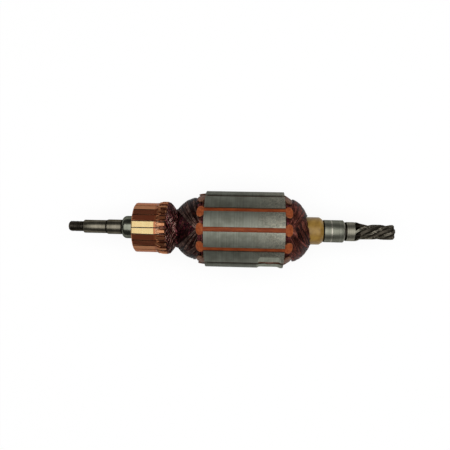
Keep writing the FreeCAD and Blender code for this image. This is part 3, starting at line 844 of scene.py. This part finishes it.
def slotWedges():
    models = {kind: fibreWedge(slopes) for kind, slopes in wedges["slopes"].items()}
    for k in range(wedges["count"]):
        kind = wedges["kinds"].get(k, "usual")
        wedge = models[kind]
        if k:
            wedge = turnedCopy(models[kind], "fibre_wedge_%02d" % (k + 1), k * 360 / wedges["count"])
        # the wedges at the sides wear the painted shade
        if kind == "shoulder":
            wedge.data.materials[0] = sideShadeFibre
        if k in wedges["sideShaded"]:
            wedge.data.materials[1] = sideShadeFibre
            wedge.data.materials[2] = sideShadeFibre
        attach(wedge, "root")
        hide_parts("slot_wedge_%02d" % (k + 1))
    bpy.data.objects.remove(models["side"])
    bpy.data.objects.remove(models["shoulder"])


slotWedges()
print("slot wedges done")


# coil heads: six layers of two coils each side, every wire drawn; a coil leaves one slot, arches over the
# dome and goes into the fifth slot on
coils = {
    "layers": 6, "wires": 18, "wire": 0.92, "span": 150, "slotSpread": 7.0, "steps": 36, "layerTurn": -30,
    # the dome: where it starts beyond the core's end, its shoulder radius and how square it is
    "start": 1.0, "domeStart": 2.3, "shoulder": 21.1, "power": 2.6,
    # the arch: how far out the middle wire and the outer wires reach, as shares of the dome
    "peak": 0.64, "band": 0.33, "archPower": 0.75, "rootPower": 0.5,
    # how deep each layer and each wire in the slot lies, and how unevenly the wires run
    "layerSink": 0.6, "sinkChance": 0.1, "stack": 0.6, "stackWires": 3, "wander": 0.012, "wanderWaves": 7,
    "jitter": 0.12, "jitterWaves": 14, "outerLayers": 2,
    # the room under the fibre tabs
    "tabEnd": 5.6, "tabClearance": 0.4, "riseBeyondTabs": 0.9}
# outer wires draw their material by lot: grey and red-brown copies are painted sheen, dark red painted
# shade
heads = {
    "rear": {"side": -1, "reach": 20.1, "end": 11.9, "lean": 0.0, "seed": 7,
             "wires": (coilWire, rearSheenWire, coilWire), "deepWires": (coilWire, innerWire)},
    "front": {"side": 1, "reach": 17.3, "end": 9.3, "lean": 0.07, "seed": 8,
              "wires": (frontWire, frontSheenWire, shadedWire), "deepWires": (frontWire, coilWire)}}
headBase = {"bore": 9.4, "backRadius": 17.5, "reach": 0.84, "below": 2.8, "belowEnd": 1.4,
            "steps": 10, "sides": 72}


def domeRadius(head, share):
    return head["end"] + (coils["shoulder"] - head["end"]) * (1 - share ** coils["power"])


def underTabs(distance):
    # the highest a wire may lie under the fibre tabs, at a distance from the core's end
    slope = math.radians(wedges["slopes"]["usual"][1])
    if distance <= coils["tabEnd"]:
        underside = wedges["top"] - distance * math.tan(slope) - wedges["thickness"] / math.cos(slope)
        return underside - coils["tabClearance"]
    return underTabs(coils["tabEnd"]) + (distance - coils["tabEnd"]) * coils["riseBeyondTabs"]


def coilPath(head, slotAngle, spread, sink, waver):
    # spread is the wire's place across its coil, from -1 to 1
    points = []
    for i in range(coils["steps"] + 1):
        share = i / coils["steps"]
        arch = math.sin(math.pi * share)
        out = (coils["peak"] + coils["band"] * spread) * arch ** coils["archPower"]
        out += coils["wander"] * math.sin(waver + coils["wanderWaves"] * share) * arch
        nearSlot = 1 - arch ** coils["rootPower"]
        distance = coils["start"] + (coils["domeStart"] - coils["start"]) * (1 - nearSlot)
        distance += out * (head["reach"] - coils["domeStart"])
        radius = domeRadius(head, out) - sink["layer"] - sink["slot"] * nearSlot
        radius += coils["jitter"] * math.sin(waver * 3 + coils["jitterWaves"] * share)
        radius = min(radius, underTabs(distance))
        reach = coils["slotSpread"] * spread
        angle = slotAngle + reach - (coils["span"] + 2 * reach) * share
        distance *= 1 + head["lean"] * math.sin(math.radians(angle)) * arch
        points.append(aroundShaft(head["side"] * (coreHalf + distance), radius, angle))
    return points


def coilHeadBase(name, head):
    # a near-black body under the wires, painted as the shade that shows between them
    low, back = headBase["bore"], coils["start"]
    steps = [(back, low), (back, headBase["backRadius"])]
    for i in range(headBase["steps"] + 1):
        share = i / headBase["steps"] * headBase["reach"]
        distance = coils["domeStart"] + share * (head["reach"] - coils["domeStart"])
        radius = max(domeRadius(head, share) - headBase["below"], head["end"] - headBase["belowEnd"])
        steps.append((distance, radius))
    steps += [(steps[-1][0], low), (back, low)]
    profile = [(head["side"] * (coreHalf + distance), radius) for distance, radius in steps]
    base = turnPiece("coil_head_base_" + name, profile, headBase["sides"])
    wear(base, betweenWiresShade)
    settle(base, 60)
    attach(base, "root")
    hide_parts(name + "_coil_heads")


def coilHeads():
    for headName, head in heads.items():
        chance = random.Random(head["seed"])
        coilHeadBase(headName, head)
        for layer in range(coils["layers"]):
            depth = coils["layers"] - 1 - layer
            materials = head["wires"] if depth < coils["outerLayers"] else head["deepWires"]
            for letter, opposite in (("a", 0), ("b", 180)):
                slotAngle = coils["layerTurn"] * depth + opposite
                paths = []
                for k in range(coils["wires"]):
                    spread = 2 * k / (coils["wires"] - 1) - 1
                    sink = {"layer": coils["layerSink"] * depth + coils["sinkChance"] * chance.random(),
                            "slot": coils["stack"] * (k % coils["stackWires"])}
                    paths.append(coilPath(head, slotAngle, spread, sink, chance.random() * 6))
                name = "coil_%s_layer%d_%s" % (headName, layer + 1, letter)
                drawWires(name, paths, coils["wire"], materials, 1, chance)


# short lengths run from slot to slot close to the core and show between the fibre tabs; at the sides they
# are swollen; one radius for each row, from the core's end out
endTurns = {"wire": 0.7, "firstRow": 1.3, "rowStep": 0.8, "reach": 15.0, "halfSteps": 4, "sag": 0.6,
            "radii": (21.9, 21.6, 21.3, 20.9, 20.5, 20.0, 19.5),
            "swollen": (2, 3, 8, 9), "swell": {-1: 1.5, 1: 0.4},
            "seeds": {"rear": 21, "front": 22}, "wires": (pinkWire, frontWire, pinkWire)}


def wiresBetweenTabs():
    for headName, head in heads.items():
        chance = random.Random(endTurns["seeds"][headName])
        paths = []
        for k in range(wedges["count"]):
            middle = (k + 0.5) * 360 / wedges["count"]
            for row, rowRadius in enumerate(endTurns["radii"]):
                distance = endTurns["firstRow"] + endTurns["rowStep"] * row
                shift = chance.uniform(-0.4, 0.4)
                radius = rowRadius + chance.uniform(-0.5, 0.1)
                if k in endTurns["swollen"]:
                    radius += endTurns["swell"][head["side"]]
                path = []
                for i in range(2 * endTurns["halfSteps"] + 1):
                    share = i / endTurns["halfSteps"] - 1
                    x = head["side"] * (coreHalf + distance + shift * share)
                    sag = endTurns["sag"] * share * share
                    path.append(aroundShaft(x, radius - sag, middle + endTurns["reach"] * share))
                paths.append(path)
        drawWires("end_turns_" + headName, paths, endTurns["wire"], endTurns["wires"], 1, chance)


coilHeads()
wiresBetweenTabs()
print("coil heads done")


# lead wires: each goes from the neck up to a hook, round in front of it and back to the neck
leads = {
    "count": 24, "wire": 0.55, "seed": 11, "radius": 17.0, "neck": -46.9, "neckRadius": 11.8, "end": -44.0,
    "endRadius": 13.2,
    # the loops round the hooks; those on the two top bars are painted bright as a highlight
    "highlightLoopWire": 0.6, "loopFront": -57.5, "loopRear": -50.4, "halfLoop": 5.2, "loopSteps": 12,
    "loopBend": 1.1, "paintedHighlightLoops": (0, 23),
    # three sets that cross on the cone, turned by skew degrees and lifted off it
    "stagger": 0.27, "sets": [{"skew": 30, "lift": 0.1, "material": leadWire},
                              {"skew": -34, "lift": 0.45, "material": leadWire},
                              {"skew": 55, "lift": 0.3, "material": pinkWire}],
    # thin strands painted pale, as highlights along the wires
    "bright": {"count": 64, "wire": 0.27, "skew": 46, "start": -51.2, "radius": 17.4, "end": -44.6,
               "endRadius": 13.4}}
leadConeProfile = [(-51.2, 9.4), (-51.2, 15.2), (-50.6, 15.6), (-47.2, 11.0), (-44.5, 11.0), (-44.5, 9.4),
                   (-51.2, 9.4)]


def hookLoops(chance):
    loops, dullLoops, sides = [], [], []
    high = leads["radius"]
    for k in range(leads["count"]):
        angle = (k + 0.5) * 360 / leads["count"]
        front = leads["loopFront"] + chance.uniform(-0.3, 0.3)
        rear = leads["loopRear"] + chance.uniform(-0.3, 0.3)
        swell = chance.uniform(0.0, 0.35)
        loop = [aroundShaft(front + 2.3, high - 0.1, angle + leads["halfLoop"])]
        for i in range(leads["loopSteps"] + 1):
            turn = math.pi * i / leads["loopSteps"]
            reach = front + leads["loopBend"] * (1 - math.sin(turn))
            loop.append(aroundShaft(reach, high + 0.1, angle + leads["halfLoop"] * math.cos(turn)))
        loop.append(aroundShaft(front + 2.3, high - 0.1, angle - leads["halfLoop"]))
        if k in leads["paintedHighlightLoops"]:
            loops.append(loop)
        else:
            dullLoops.append(loop)
        for half in (leads["halfLoop"], -leads["halfLoop"]):
            # the loop's leg runs down beside the hook, out over its end and onto the cone
            sides.append([aroundShaft(front + 2.2, high - 0.15, angle + half),
                          aroundShaft(front + 3.6, high - 0.5, angle + half * 0.9),
                          aroundShaft(rear - 1.4, high + swell, angle + half),
                          aroundShaft(rear - 0.3, high + swell - 0.2, angle + half * 1.3),
                          aroundShaft(rear + 0.6, high - 0.9, angle + half * 1.9)])
    first = drawWires("hook_loops", loops, leads["highlightLoopWire"], (highlightLoopWire,), 2)
    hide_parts("commutator_leads")
    drawWires("dull_hook_loops", dullLoops, leads["highlightLoopWire"], (dullLoopWire,), 2)
    drawWires("wires_beside_hooks", sides, leads["highlightLoopWire"], (besideWire,))


def coneWires(chance):
    # from the hooks down the cone to the neck, and up again to the coil head
    high, low, neck = leads["radius"], leads["neckRadius"], leads["neck"]
    for number, strands in enumerate(leads["sets"]):
        paths = []
        for k in range(leads["count"]):
            place = k + 0.5 + leads["stagger"] * (-1) ** number
            angle = place * 360 / leads["count"] + chance.uniform(-2, 2)
            skew = strands["skew"] + chance.uniform(-9, 9)
            start = leads["loopRear"] - 0.9 + chance.uniform(-0.4, 0.4)
            lift = strands["lift"] + chance.uniform(-0.2, 0.2)
            path = [aroundShaft(start - 1.5, high - 0.3, angle)]
            for i in range(11):
                share = i / 10
                x = start + share * (neck - start)
                radius = high + lift - share ** 1.3 * (high - low)
                path.append(aroundShaft(x, radius, angle + share ** 1.2 * skew))
            for i in range(1, 6):
                share = i / 5
                x = neck + share * (leads["end"] - neck)
                radius = low + lift + share * (leads["endRadius"] - low)
                path.append(aroundShaft(x, radius, angle + skew * (1 + 0.6 * share)))
            paths.append(path)
        drawWires("lead_wires_%d" % (number + 1), paths, leads["wire"], (strands["material"],))


def brightStrands(chance):
    bright = leads["bright"]
    low, neck = leads["neckRadius"] + 0.6, leads["neck"]
    paths = []
    for k in range(bright["count"]):
        angle = (k + 0.5 * chance.random()) * 360 / bright["count"]
        lean = math.sin(math.radians(angle))
        skew = -bright["skew"] * math.copysign(abs(lean) ** 0.4, lean) + chance.uniform(-5, 5)
        start = bright["start"] + chance.uniform(-0.5, 0.5)
        path = []
        for i in range(11):
            share = i / 10
            radius = bright["radius"] - share ** 1.3 * (bright["radius"] - low)
            path.append(aroundShaft(start + share * (neck - start), radius, angle + share ** 1.1 * skew))
        path.append(aroundShaft(bright["end"], bright["endRadius"], angle + 1.3 * skew))
        paths.append(path)
    drawWires("painted_highlight_lead_strands", paths, bright["wire"], (highlightLeadWire, leadWire), 1, chance)


def leadConeBase():
    # the cone under the lead wires wears the painted shade
    base = turnPiece("lead_cone_base", leadConeProfile, 48)
    wear(base, betweenWiresShade)
    settle(base, 60)
    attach(base, "root")


def leadWires():
    chance = random.Random(leads["seed"])
    hookLoops(chance)
    coneWires(chance)
    brightStrands(chance)
    leadConeBase()


leadWires()
print("lead wires done")

bpy.context.scene.view_settings.view_transform = "Standard"
